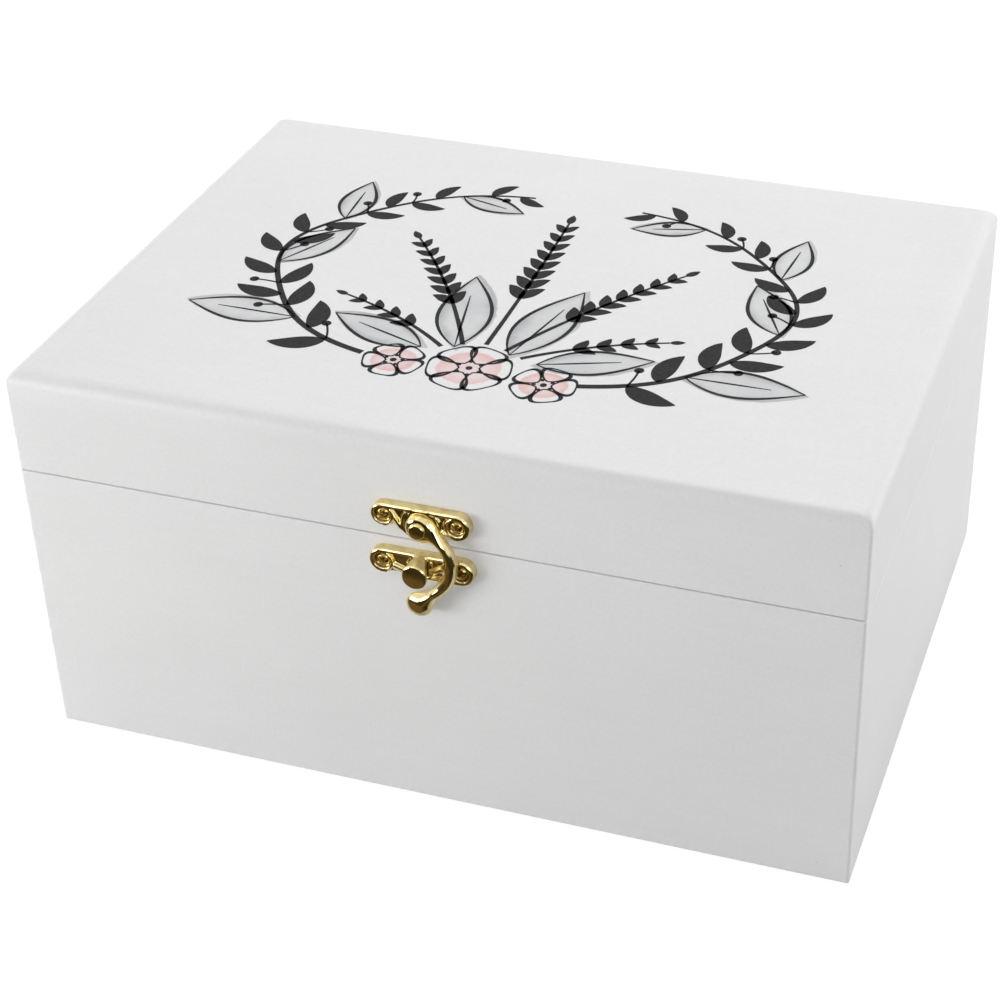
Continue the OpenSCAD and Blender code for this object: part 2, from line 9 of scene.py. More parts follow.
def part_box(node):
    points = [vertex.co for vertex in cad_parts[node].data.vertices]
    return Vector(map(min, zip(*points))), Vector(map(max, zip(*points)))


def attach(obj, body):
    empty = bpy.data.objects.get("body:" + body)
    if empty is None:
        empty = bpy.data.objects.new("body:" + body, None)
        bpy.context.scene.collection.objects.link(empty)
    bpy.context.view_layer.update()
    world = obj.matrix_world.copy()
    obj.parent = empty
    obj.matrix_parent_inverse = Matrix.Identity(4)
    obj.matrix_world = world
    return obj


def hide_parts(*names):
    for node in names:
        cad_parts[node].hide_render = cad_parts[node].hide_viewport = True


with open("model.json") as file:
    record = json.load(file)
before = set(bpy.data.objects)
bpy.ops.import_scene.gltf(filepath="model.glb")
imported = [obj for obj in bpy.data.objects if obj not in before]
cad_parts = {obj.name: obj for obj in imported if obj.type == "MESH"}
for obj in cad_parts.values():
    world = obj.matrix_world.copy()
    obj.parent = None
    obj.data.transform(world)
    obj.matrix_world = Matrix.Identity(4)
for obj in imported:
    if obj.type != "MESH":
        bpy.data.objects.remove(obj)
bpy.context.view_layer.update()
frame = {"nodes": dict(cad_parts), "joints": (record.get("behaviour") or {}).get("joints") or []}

# The view: the box from the front, a little from the right and well from above, through a
# long lens. The frame is shifted a little, so that the box sits in it as in the photograph.
view_azimuth = radians(18.372)
view_elevation = radians(33.857)
view_roll = radians(0.626)
view_from = (0.22523, -0.60931, 0.48059)


def new_object(name, data):
    """An object that holds the given data, linked to the scene."""
    made = bpy.data.objects.new(name, data)
    bpy.context.scene.collection.objects.link(made)
    return made


camera_data = bpy.data.cameras.new("camera")
camera_data.sensor_width = 36
camera_data.lens = 81.4
camera_data.shift_x = -0.100
camera_data.shift_y = 0.015
camera_data.clip_start = 0.05
camera = new_object("camera", camera_data)
camera.matrix_world = (
    Matrix.Translation(view_from)
    @ Matrix.Rotation(view_azimuth, 4, "Z")
    @ Matrix.Rotation(pi / 2 - view_elevation, 4, "X")
    @ Matrix.Rotation(-view_roll, 4, "Z")
)
bpy.context.scene.camera = camera
bpy.context.scene.view_settings.view_transform = "Standard"

# The studio's room: plain white behind the box and an even soft light all round. Polished
# metal sees the room brighter than it lights the box, apart from the dark end in front where
# the camera stands, which gives brass its browns.
room_light_level = 0.46
room_seen_level = 1.0
dark_end_level = 0.015
dark_end_forward = (-0.52, -0.74)
dark_end_upward = (0.46, 0.30)
white = (1, 1, 1, 1)


def feed(tree, socket, value):
    """Ties a socket to another socket, or sets it to a plain value."""
    if isinstance(value, bpy.types.NodeSocket):
        tree.links.new(value, socket)
    else:
        socket.default_value = value


def node_of(tree, kind, **inputs):
    """A new node of a kind, with named inputs set to plain values or tied to sockets."""
    node = tree.nodes.new(kind)
    for name, value in inputs.items():
        feed(tree, node.inputs[name.replace("_", " ")], value)
    return node


def ramp_node(tree, value, start, end, low=0.0, high=1.0):
    """A soft rise from low to high while the value goes from start to end."""
    ramp = tree.nodes.new("ShaderNodeMapRange")
    ramp.interpolation_type = "SMOOTHSTEP"
    for name, number in (("From Min", start), ("From Max", end), ("To Min", low), ("To Max", high)):
        ramp.inputs[name].default_value = number
    tree.links.new(value, ramp.inputs["Value"])
    return ramp.outputs[0]


def math_node(tree, operation, a, b=0.0):
    """A math node on a and b, each a socket or a number."""
    node = tree.nodes.new("ShaderNodeMath")
    node.operation = operation
    feed(tree, node.inputs[0], a)
    feed(tree, node.inputs[1], b)
    return node.outputs[0]


world = bpy.data.worlds.new("studio")
bpy.context.scene.world = world
world.use_nodes = True
room = world.node_tree
room.nodes.clear()
room_rays = room.nodes.new("ShaderNodeLightPath")
room_way = room.nodes.new("ShaderNodeTexCoord")
room_axes = node_of(room, "ShaderNodeSeparateXYZ", Vector=room_way.outputs["Generated"])
in_front = ramp_node(room, room_axes.outputs["Y"], *dark_end_forward)
below_lamps = ramp_node(room, room_axes.outputs["Z"], *dark_end_upward)
dark_end = math_node(room, "MULTIPLY", in_front, below_lamps)
seen_level = ramp_node(room, dark_end, 0, 1, room_seen_level, dark_end_level)
room_level = node_of(room, "ShaderNodeMix", Factor=room_rays.outputs["Is Glossy Ray"],
                     A=room_light_level, B=seen_level)
room_light = node_of(room, "ShaderNodeBackground", Color=white, Strength=room_level.outputs["Result"])
room_white = node_of(room, "ShaderNodeBackground", Color=white, Strength=1.0)
room_pick = node_of(room, "ShaderNodeMixShader", Fac=room_rays.outputs["Is Camera Ray"])
room.links.new(room_light.outputs[0], room_pick.inputs[1])
room.links.new(room_white.outputs[0], room_pick.inputs[2])
node_of(room, "ShaderNodeOutputWorld", Surface=room_pick.outputs[0])

# The studio's floor: a pale sheet under the box. The camera sees it almost white, with a faint shadow
# left round the box. A sheet on it in front of the box shows only in polished metal, as a painted
# reflection: dark, and browner close to the box's left half, so that it paints the brass's dark and
# brown faces.
floor_half = 3.0
floor_drop = 0.0002
floor_grey = (0.70, 0.70, 0.70, 1)
floor_white = 0.88
floor_glow = 1.08
reflection_sheet_half = 1.5
reflection_sheet_end = -0.13
reflection_sheet_rise = 0.0002
# Colours of the painted reflection: dark, and browner near the box's left half.
reflected_dark = (0.050, 0.038, 0.014, 1)
reflected_brown = (0.21, 0.140, 0.062, 1)
reflected_brown_y = (-0.255, -0.195)
reflected_brown_x = (0.02, -0.03)


def level_sheet(name, x0, x1, y0, y1, z, material):
    """A flat sheet on the studio's floor, which isn't part of the box."""
    mesh = bpy.data.meshes.new(name)
    mesh.from_pydata([(x0, y0, z), (x1, y0, z), (x1, y1, z), (x0, y1, z)], [], [(0, 1, 2, 3)])
    mesh.materials.append(material)
    sheet = new_object(name, mesh)
    return sheet


def colour_mix(tree, factor, a, b, way="MIX"):
    """Colour a blended with colour b by factor, each a socket or a plain value."""
    mix = tree.nodes.new("ShaderNodeMix")
    mix.data_type = "RGBA"
    mix.blend_type = way
    for name, value in (("Factor", factor), ("A", a), ("B", b)):
        feed(tree, mix.inputs[name], value)
    return mix.outputs["Result"]


floor_paper = bpy.data.materials.new("floor_paper")
floor_paper.use_nodes = True
paper = floor_paper.node_tree
paper.nodes.clear()
paper_rays = paper.nodes.new("ShaderNodeLightPath")
paper_share = math_node(paper, "MULTIPLY", paper_rays.outputs["Is Camera Ray"], floor_white)
paper_matt = node_of(paper, "ShaderNodeBsdfDiffuse", Color=floor_grey)
paper_glow = node_of(paper, "ShaderNodeEmission", Color=white, Strength=floor_glow)
paper_mix = node_of(paper, "ShaderNodeMixShader", Fac=paper_share)
paper.links.new(paper_matt.outputs[0], paper_mix.inputs[1])
paper.links.new(paper_glow.outputs[0], paper_mix.inputs[2])
node_of(paper, "ShaderNodeOutputMaterial", Surface=paper_mix.outputs[0])
level_sheet("floor", -floor_half, floor_half, -floor_half, floor_half, -floor_drop, floor_paper)

dark_cloth = bpy.data.materials.new("dark_cloth")
dark_cloth.use_nodes = True
reflection_tree = dark_cloth.node_tree
reflection_place = reflection_tree.nodes.new("ShaderNodeTexCoord")
reflection_axes = node_of(reflection_tree, "ShaderNodeSeparateXYZ", Vector=reflection_place.outputs["Object"])
reflected_brown_near = ramp_node(reflection_tree, reflection_axes.outputs["Y"], *reflected_brown_y)
reflected_brown_left = ramp_node(reflection_tree, reflection_axes.outputs["X"], *reflected_brown_x)
reflected_brown_share = math_node(reflection_tree, "MULTIPLY", reflected_brown_near, reflected_brown_left)
reflection_shader = reflection_tree.nodes["Principled BSDF"]
reflection_shader.inputs["Roughness"].default_value = 1.0
reflection_shader.inputs["Specular IOR Level"].default_value = 0.0
feed(reflection_tree, reflection_shader.inputs["Base Color"],
     colour_mix(reflection_tree, reflected_brown_share, reflected_dark, reflected_brown))
painted_reflection_sheet = level_sheet(
    "dark_cloth", -reflection_sheet_half, reflection_sheet_half, -floor_half, reflection_sheet_end, reflection_sheet_rise, dark_cloth)
# Only glossy rays see this sheet. It is a painted reflection in the brass and casts no shade.
painted_reflection_sheet.visible_camera = False
painted_reflection_sheet.visible_diffuse = False
painted_reflection_sheet.visible_shadow = False
painted_reflection_sheet.visible_transmission = False

# The lamps: a low soft box to the left in front, which fades along the box's front, a large
# one high behind, whose light stops at the lid's front edge, one to the right and behind, which
# keeps the right side pale, and weak ones in front. Two show only as gloss on paint and brass.
def soft_box(name, place, aim, width, height, power):
    """A rectangular lamp at place that faces aim, in metres and watts."""
    lamp = bpy.data.lights.new(name, "AREA")
    lamp.shape = "RECTANGLE"
    lamp.size = width
    lamp.size_y = height
    lamp.energy = power
    holder = new_object(name, lamp)
    holder.location = place
    holder.rotation_euler = (Vector(place) - Vector(aim)).to_track_quat("Z", "Y").to_euler()


soft_box("front_left_lamp", (-0.75, -0.65, 0.16), (-0.05, -0.1, 0.08), 0.5, 0.3, 4.0)
soft_box("key_lamp", (-0.45, -0.75, 0.95), (0, -0.1, 0.1), 0.26, 0.26, 0.8)
soft_box("fill_lamp", (0.35, -1.3, 0.35), (0, -0.1, 0.07), 0.8, 0.4, 0.85)
soft_box("back_lamp", (-0.3, 1.6, 1.7), (0, 0, 0.1), 1.5, 0.9, 26.5)
soft_box("right_lamp", (1.0, 0.45, 0.35), (0, 0, 0.07), 0.7, 0.6, 4.4)
soft_box("top_shine_lamp", (0.0, 0.25, 1.3), (0, 0, 0.1), 1.0, 1.0, 8.3)
soft_box("front_shine_lamp", (0.60, -0.95, 0.40), (0, -0.1, 0.1), 0.5, 0.35, 2.6)
for lamp_name in ("fill_lamp", "back_lamp"):
    bpy.data.objects[lamp_name].visible_glossy = False
for lamp_name in ("top_shine_lamp", "front_shine_lamp"):
    bpy.data.objects[lamp_name].visible_diffuse = False

# The base: four boards glued at rebated corners, with the floor panel let into a rebate at
# their foot. White satin paint is brushed on along each board.
paint_white = (0.80, 0.80, 0.80, 1)
paint_relief = 0.00006
cloud_scale = 22
streak_scale = 260
skin_scale = 900
streak_tone = 0.035
skin_tone = 0.10
speck_scale = 55
speck_size = 0.016
speck_share = 0.2
speck_tone = 0.22
paint_roughness = 0.36
streak_roughness = 0.16
streak_height = 0.6
paint_bump = 0.55


def new_group(name, inputs, outputs):
    """An empty shader node group with the named (name, kind, default) inputs and outputs."""
    group = bpy.data.node_groups.new(name, "ShaderNodeTree")
    for socket_name, kind, default in inputs:
        socket = group.interface.new_socket(socket_name, in_out="INPUT", socket_type="NodeSocket" + kind)
        socket.default_value = default
    for socket_name, kind in outputs:
        group.interface.new_socket(socket_name, in_out="OUTPUT", socket_type="NodeSocket" + kind)
    return group, group.nodes.new("NodeGroupInput"), group.nodes.new("NodeGroupOutput")


def noise_node(tree, place, scale, detail):
    """A noise texture at place, with its own scale in features per metre."""
    noise = tree.nodes.new("ShaderNodeTexNoise")
    noise.inputs["Scale"].default_value = scale
    noise.inputs["Detail"].default_value = detail
    tree.links.new(place, noise.inputs["Vector"])
    return noise


def swing(tree, noise, amount):
    """A noise as a swing about 0: how far its value is from one half, times amount."""
    return math_node(tree, "MULTIPLY", math_node(tree, "SUBTRACT", noise.outputs[0], 0.5), amount)


def brushed_paint_group():
    """Paint put on with a brush: soft clouds in its tone, streaks along the grain, a fine
    skin and a few dark specks. Height is 0 to 1 and is meant for a bump."""
    group, given, out = new_group(
        "brushed_paint",
        [("Place", "Vector", (0, 0, 0)), ("Colour", "Color", paint_white),
         ("Grain", "Vector", (1, 1, 1)), ("Clouds", "Float", 0.06)],
        [("Colour", "Color"), ("Roughness", "Float"), ("Height", "Float")])
    link = group.links.new
    stretched = group.nodes.new("ShaderNodeVectorMath")
    stretched.operation = "MULTIPLY"
    link(given.outputs["Place"], stretched.inputs[0])
    link(given.outputs["Grain"], stretched.inputs[1])
    clouds = noise_node(group, given.outputs["Place"], cloud_scale, 3)
    streaks = noise_node(group, stretched.outputs[0], streak_scale, 3)
    fine_skin = noise_node(group, given.outputs["Place"], skin_scale, 2)
    tone = swing(group, clouds, given.outputs["Clouds"])
    tone = math_node(group, "ADD", tone, swing(group, streaks, streak_tone))
    mottled = math_node(group, "ADD", swing(group, fine_skin, skin_tone), 1.0)
    tone = math_node(group, "ADD", tone, mottled)
    specks = group.nodes.new("ShaderNodeTexVoronoi")
    specks.inputs["Scale"].default_value = speck_scale
    link(given.outputs["Place"], specks.inputs["Vector"])
    near = math_node(group, "LESS_THAN", specks.outputs["Distance"], speck_size)
    picked = group.nodes.new("ShaderNodeSeparateColor")
    link(specks.outputs["Color"], picked.inputs[0])
    chosen = math_node(group, "GREATER_THAN", picked.outputs[0], 1 - speck_share)
    dark = math_node(group, "MULTIPLY", math_node(group, "MULTIPLY", near, chosen), speck_tone)
    shade = group.nodes.new("ShaderNodeVectorMath")
    shade.operation = "SCALE"
    link(given.outputs["Colour"], shade.inputs[0])
    link(math_node(group, "SUBTRACT", tone, dark), shade.inputs["Scale"])
    link(shade.outputs[0], out.inputs["Colour"])
    rough = math_node(group, "MULTIPLY", streaks.outputs[0], streak_roughness)
    link(math_node(group, "ADD", rough, paint_roughness), out.inputs["Roughness"])
    streak_part = math_node(group, "MULTIPLY", streaks.outputs[0], streak_height)
    skin_part = math_node(group, "MULTIPLY", fine_skin.outputs[0], 1 - streak_height)
    link(math_node(group, "ADD", streak_part, skin_part), out.inputs["Height"])
    return group


brushed_paint = brushed_paint_group()


def white_paint(name, grain):
    """A material of white satin paint, with its streaks drawn out along the board: grain is
    how fast they change along x, y and z."""
    material = bpy.data.materials.new(name)
    material.use_nodes = True
    tree = material.node_tree
    paint = tree.nodes["Principled BSDF"]
    place = tree.nodes.new("ShaderNodeTexCoord")
    coat = tree.nodes.new("ShaderNodeGroup")
    coat.node_tree = brushed_paint
    coat.inputs["Colour"].default_value = paint_white
    coat.inputs["Grain"].default_value = grain
    tree.links.new(place.outputs["Object"], coat.inputs["Place"])
    bump = node_of(tree, "ShaderNodeBump", Distance=paint_relief, Strength=paint_bump,
                   Height=coat.outputs["Height"])
    tree.links.new(coat.outputs["Colour"], paint.inputs["Base Color"])
    tree.links.new(coat.outputs["Roughness"], paint.inputs["Roughness"])
    tree.links.new(bump.outputs["Normal"], paint.inputs["Normal"])
    return material


def finish_node(name, material):
    """Gives a solid of the model its material."""
    materials = frame["nodes"][name].data.materials
    materials.clear()
    materials.append(material)


grain_along_x = (0.12, 1.0, 1.0)
grain_along_y = (1.0, 0.12, 1.0)
paint_along_x = white_paint("paint_along_x", grain_along_x)
paint_along_y = white_paint("paint_along_y", grain_along_y)
for board in ("base_front", "base_back"):
    finish_node(board, paint_along_x)
for board in ("base_left", "base_right", "base_floor"):
    finish_node(board, paint_along_y)

# The lid's frame: four rails like the boards of the base, only lower, under one top panel.
# They are glued at their corners and painted as the base is.
for rail in ("lid_front", "lid_back"):
    finish_node(rail, paint_along_x)
for rail in ("lid_left", "lid_right"):
    finish_node(rail, paint_along_y)

# The lid's top: one panel over the rails, with a quarter round along its upper edges and
# sanded corners. It is painted like the rest, and a watercolour wash is printed on it in
# soft grey leaves and small pink flowers.
mm = 0.001
wash_edge_scale = 140
wash_edge_swing = 0.22
wash_cloud_scale = 70


def skin(rows, columns):
    """Four-sided faces between neighbouring points of a grid that closes along its rows."""
    i = np.arange(rows - 1)[:, None]
    j = np.arange(columns)[None, :]
    k = (j + 1) % columns
    corners = [i * columns + j, i * columns + k, (i + 1) * columns + k, (i + 1) * columns + j]
    return np.stack(np.broadcast_arrays(*corners), -1).reshape(-1, 4)


def new_piece(name, points, faces, material, sharp=40):
    """A mesh object from points in millimetres. Points that meet become one, faces are turned
    outwards, and edges that bend by more than sharp degrees stay crisp."""
    mesh = bpy.data.meshes.new(name)
    mesh.from_pydata((np.asarray(points).reshape(-1, 3) * mm).tolist(), [], faces)
    shape = bmesh.new()
    shape.from_mesh(mesh)
    bmesh.ops.remove_doubles(shape, verts=shape.verts, dist=1e-7)
    bmesh.ops.dissolve_degenerate(shape, edges=shape.edges, dist=1e-8)
    bmesh.ops.recalc_face_normals(shape, faces=shape.faces)
    shape.to_mesh(mesh)
    shape.free()
    mesh.shade_smooth()
    mesh.set_sharp_from_angle(angle=radians(sharp))
    mesh.materials.append(material)
    return new_object(name, mesh)


def rounded_outline(half_x, half_y, corner, corner_steps):
    """A rectangle with quarter circles for corners, as one closed run of points."""
    turn = np.linspace(0, pi / 2, corner_steps)[None, :] + pi / 2 * np.arange(4)[:, None]
    side_x = np.array([1, -1, -1, 1])[:, None]
    side_y = np.array([1, 1, -1, -1])[:, None]
    x = side_x * (half_x - corner) + corner * np.cos(turn)
    y = side_y * (half_y - corner) + corner * np.sin(turn)
    return np.stack([x.ravel(), y.ravel()], -1)


def wash_group():
    """One touch of watercolour, as a mask: 1 in it and 0 outside. It is measured along and
    across its length, so that 1 is its edge: a round touch by the distance from its centre,
    a leaf by its breadth plus the square of its length. Noise makes the edge uneven, the
    pigment gathers at the edge, and the middle is cloudy."""
    group, given, out = new_group(
        "watercolour_touch",
        [("Place", "Vector", (0, 0, 0)), ("Centre", "Vector", (0, 0, 0)),
         ("Turn", "Float", 0), ("Half Length", "Float", 0.02),
         ("Half Width", "Float", 0.01), ("Leafy", "Float", 1),
         ("Ragged", "Float", 0), ("Clouds", "Float", 1)],
        [("Mask", "Float")])
    link = group.links.new
    local = group.nodes.new("ShaderNodeVectorMath")
    local.operation = "SUBTRACT"
    link(given.outputs["Place"], local.inputs[0])
    link(given.outputs["Centre"], local.inputs[1])
    spun = group.nodes.new("ShaderNodeVectorRotate")
    spun.rotation_type = "Z_AXIS"
    link(local.outputs[0], spun.inputs["Vector"])
    link(math_node(group, "MULTIPLY", given.outputs["Turn"], -1.0), spun.inputs["Angle"])
    axes = node_of(group, "ShaderNodeSeparateXYZ", Vector=spun.outputs[0])
    along = math_node(group, "DIVIDE", axes.outputs["X"], given.outputs["Half Length"])
    across = math_node(group, "DIVIDE", axes.outputs["Y"], given.outputs["Half Width"])
    along_squared = math_node(group, "MULTIPLY", along, along)
    across_squared = math_node(group, "MULTIPLY", across, across)
    round_edge = math_node(group, "SQRT", math_node(group, "ADD", along_squared, across_squared))
    leaf_edge = math_node(group, "ADD", math_node(group, "ABSOLUTE", across), along_squared)
    edge = node_of(group, "ShaderNodeMix", Factor=given.outputs["Leafy"], A=round_edge, B=leaf_edge)
    distance = math_node(group, "ADD", edge.outputs["Result"], given.outputs["Ragged"])
    inside = ramp_node(group, distance, 1.0, 0.9)
    gathered = ramp_node(group, distance, 0.45, 1.0, 0.45, 0.95)
    mask = math_node(group, "MULTIPLY", math_node(group, "MULTIPLY", inside, gathered),
                     given.outputs["Clouds"])
    clipped = math_node(group, "MINIMUM", mask, 1.0)
    link(clipped, out.inputs["Mask"])
    return group


def add_washes(material, touches, tint):
    """Lays each touch of (x, y, degrees, half length, half width, leafy), in millimetres on
    the lid, over the paint's colour in the given tint, on the lid's upper side only."""
    tree = material.node_tree
    paint = tree.nodes["Principled BSDF"]
    colour = paint.inputs["Base Color"].links[0].from_socket
    place = tree.nodes.new("ShaderNodeTexCoord")
    edge_noise = noise_node(tree, place.outputs["Object"], wash_edge_scale, 3)
    ragged = swing(tree, edge_noise, wash_edge_swing)
    cloud_noise = noise_node(tree, place.outputs["Object"], wash_cloud_scale, 4)
    clouds = math_node(tree, "ADD", math_node(tree, "MULTIPLY", cloud_noise.outputs[0], 1.3), 0.3)
    given = (("Place", place.outputs["Object"]), ("Ragged", ragged), ("Clouds", clouds))
    total = None
    for x, y, turn, half_length, half_width, leafy in touches:
        touch = tree.nodes.new("ShaderNodeGroup")
        touch.node_tree = watercolour_touch
        own = (("Centre", (x * mm, y * mm, 0)), ("Turn", radians(turn)), ("Leafy", leafy),
               ("Half Length", half_length * mm), ("Half Width", half_width * mm))
        for socket, value in own + given:
            feed(tree, touch.inputs[socket], value)
        mask = touch.outputs["Mask"]
        total = mask if total is None else math_node(tree, "MAXIMUM", total, mask)
    height = node_of(tree, "ShaderNodeSeparateXYZ", Vector=place.outputs["Object"]).outputs["Z"]
    on_top = math_node(tree, "GREATER_THAN", height, (top_high[2] - 0.5) * mm)
    total = math_node(tree, "MULTIPLY", total, on_top)
    washed = colour_mix(tree, total, colour, tint, "MULTIPLY")
    tree.links.new(washed, paint.inputs["Base Color"])


top_low, top_high = (np.array(corner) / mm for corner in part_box("lid_top"))
top_half = (top_high - top_low) / 2
top_round = 4.5
top_corner = 1.0
top_sanding = 0.75
corner_steps = 9
round_over = np.linspace(0, pi / 2, 15)
top_insets = np.concatenate([
    [0, 0], top_round * (1 - np.cos(round_over)), [top_round + 1, top_round + 6]])
top_heights = np.concatenate([
    [top_low[2], top_high[2] - top_round - 1],
    top_high[2] - top_round + top_round * np.sin(round_over), [top_high[2]] * 2])
top_rings = []
for inset, height in zip(top_insets, top_heights):
    outline = rounded_outline(
        top_half[0] - inset, top_half[1] - inset, top_corner + top_sanding * inset, corner_steps)
    top_rings.append(np.column_stack([outline, np.full(len(outline), height)]))
ring_size = len(top_rings[0])
top_faces = skin(len(top_rings), ring_size).tolist()
top_faces.append(list(range(ring_size))[::-1])
top_faces.append(list(range((len(top_rings) - 1) * ring_size, len(top_rings) * ring_size)))
top_paint = white_paint("paint_and_washes", grain_along_x)
watercolour_touch = wash_group()
lid_panel = new_piece("lid_panel", np.array(top_rings), top_faces, top_paint, 60)
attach(lid_panel, "lid")
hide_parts("lid_top")

# The print: a bunch of flowers with tall sprigs inside a wreath of two leafy twigs, in black
# ink as if put down with a brush, over large leaves of grey watercolour. Each stroke is a
# film of ink far thinner than paper.
ink_film = 0.05
ink_sunk = 0.02
ink_black = (0.008, 0.008, 0.009, 1)
ink_worn = (0.035, 0.035, 0.037, 1)
wash_grey = (0.50, 0.51, 0.53, 1)
wash_pink = (0.94, 0.55, 0.52, 1)
wreath_half_x = 86
wreath_half_y = 62
wreath_start = radians(-66)
wreath_sweep = radians(143)
wreath_wave = 0.016
leaf_places = 21
leaf_size = (19, 7.4)
washed_size = (40, 16)
berry_stalk = 10
berry_r = 1.6
first_bud = 0.36
bud_lean = radians(36)
strokes = []
grey_leaves = []
pink_touches = []


def stroke(x, y, half_width):
    """A film of ink along the path (x, y), half_width wide to each side: the path's points
    moved along the normal of the path by plus and minus half the width, below and above."""
    run = np.gradient(x), np.gradient(y)
    length = np.hypot(*run) + 1e-9
    side = np.stack([-run[1] / length, run[0] / length], -1) * np.asarray(half_width)[:, None]
    middle = np.stack([x, y], -1)
    low = np.full((len(x), 1), top_high[2] - ink_sunk)
    high = np.full((len(x), 1), top_high[2] + ink_film)
    rails = [(middle + side, low), (middle - side, low), (middle - side, high), (middle + side, high)]
    strokes.append(np.stack([np.hstack(rail) for rail in rails], 1))


def turned(x, y, angle, at):
    """The points (x, y) turned by angle about the origin and moved to at."""
    return (at[0] + x * np.cos(angle) - y * np.sin(angle),
            at[1] + x * np.sin(angle) + y * np.cos(angle))


def solid_leaf(at, angle, length, width, curl=0.12):
    """A full leaf: its middle bends as a parabola, its half width is a sine to the power 0.8."""
    t = np.linspace(0, 1, 15)
    x, y = turned(length * t, curl * length * t * (1 - t) * 4, angle, at)
    stroke(x, y, width / 2 * np.sin(pi * t ** 0.85) ** 0.8 + 0.05)


def outlined_leaf(at, angle, length, width, pen):
    """A leaf drawn as its two edges and a short middle vein, thick where the brush presses."""
    t = np.linspace(0, 1, 19)
    pressed = pen * (0.35 + 0.65 * np.sin(pi * t))
    for side in (-1, 1):
        x, y = turned(length * t, side * width / 2 * np.sin(pi * t ** 0.85), angle, at)
        stroke(x, y, pressed / 2)
    x, y = turned(length * 0.72 * t, 0 * t, angle, at)
    stroke(x, y, pressed * 0.3)


def ink_dot(at, radius):
    """A round dot: a short path whose half width is that of a circle."""
    t = np.linspace(-1, 1, 11)
    stroke(at[0] + radius * t, at[1] + 0 * t, radius * np.sqrt(np.clip(1 - t * t, 0.002, 1)))


def flower(at, radius, petals, turn):
    """An open flower: petals drawn as loops round a ring of small dots, with a pink middle."""
    t = np.linspace(0, 1, 21)
    for k in range(petals):
        angle = turn + 2 * pi * k / petals
        half_wide = radius * 0.46 * np.sin(pi * t) ** 0.7
        for side in (-1, 1):
            x, y = turned(radius * (0.24 + 0.76 * np.sin(pi / 2 * t)), side * half_wide, angle, at)
            stroke(x, y, 0.28 + 0.42 * np.sin(pi * t) ** 2)
        dot_x, dot_y = turned(np.array([radius * 0.3]), np.array([0.0]), angle + pi / petals, at)
        ink_dot((dot_x[0], dot_y[0]), 0.7)
    ink_dot(at, 1.1)
    pink_touches.append((at[0], at[1], 0, radius * 0.8, radius * 0.76, 0))


def sprig(at, angle, length, bend, pairs, bud):
    """A stem bent as a parabola, with pairs of full buds on its upper part that grow smaller
    towards its tip, and one bud on the tip."""
    t = np.linspace(0, 1, 30)
    x, y = turned(length * t, bend * t * t, angle, at)
    stroke(x, y, 0.8 - 0.4 * t)
    for share in np.linspace(first_bud, 1, pairs):
        place = turned(length * share, bend * share ** 2, angle, at)
        along = angle + np.arctan2(2 * bend * share, length)
        size = bud * (1.25 - 0.6 * share)
        for lean in ((-1, 1) if share < 1 else (0,)):
            solid_leaf(place, along + lean * bud_lean, size, size * 0.46, -0.08 * lean)


def washed_leaf(at, angle, length, width):
    """A large leaf of grey watercolour, outlined and veined in ink."""
    outlined_leaf(at, angle, length, width, 1.3)
    middle = turned(length * 0.49, -0.05 * width, angle, at)
    grey_leaves.append((middle[0], middle[1], np.degrees(angle), length * 0.56, width * 0.56, 1))


def wreath_at(side, share):
    """The point a share of the way along a twig, and its angle round the wreath: an ellipse
    whose half axes swell and shrink a little along it."""
    sweep = wreath_start + wreath_sweep * share
    wave = 1 + wreath_wave * np.sin(5 * pi * share)
    return side * wreath_half_x * wave * np.cos(sweep), wreath_half_y * wave * np.sin(sweep), sweep


for side in (-1, 1):
    t = np.linspace(0, 1, 70)
    x, y, _ = wreath_at(side, t)
    stroke(x, y, 1.15 - 0.65 * t)
    for k in range(1, leaf_places):
        share = (k + 0.5) / leaf_places
        x, y, sweep = wreath_at(side, share)
        root = (x, y)
        grows = np.arctan2(wreath_half_y * np.cos(sweep), -side * wreath_half_x * np.sin(sweep))
        outward = 1 if k % 2 else -1
        size = 1 - 0.42 * share
        if k % 5 == 3:
            lean = grows - side * outward * radians(38)
            washed_leaf(root, lean, *np.multiply(washed_size, size))
        else:
            lean = grows - side * outward * radians(48 - 10 * share)
            solid_leaf(root, lean, *np.multiply(leaf_size, size), -0.1 * side * outward)
        if k % 5 in (1, 4):
            stem_t = np.linspace(0, 1, 9)
            lean = grows + side * outward * radians(50)
            x, y = turned(berry_stalk * size * stem_t, 1.5 * stem_t ** 2, lean, root)
            stroke(x, y, 0.36 + 0 * stem_t)
            ink_dot((x[-1], y[-1]), berry_r)

flower((0, -56), 13, 6, 0.2)
flower((-24, -58), 9.5, 5, 0.9)
flower((25, -59), 10, 5, 0.1)
sprig((0, -41), radians(90), 86, 2, 9, 10)
for side in (-1, 1):
    sprig((side * 7, -43), radians(90 - side * 25), 74, -side * 9, 8, 9)
    sprig((side * 13, -46), radians(90 - side * 50), 46, -side * 9, 5, 7.5)
    washed_leaf((side * 9, -45), radians(90 - side * 12), 46, 17)
    washed_leaf((side * 19, -48), radians(90 - side * 70), 36, 14)

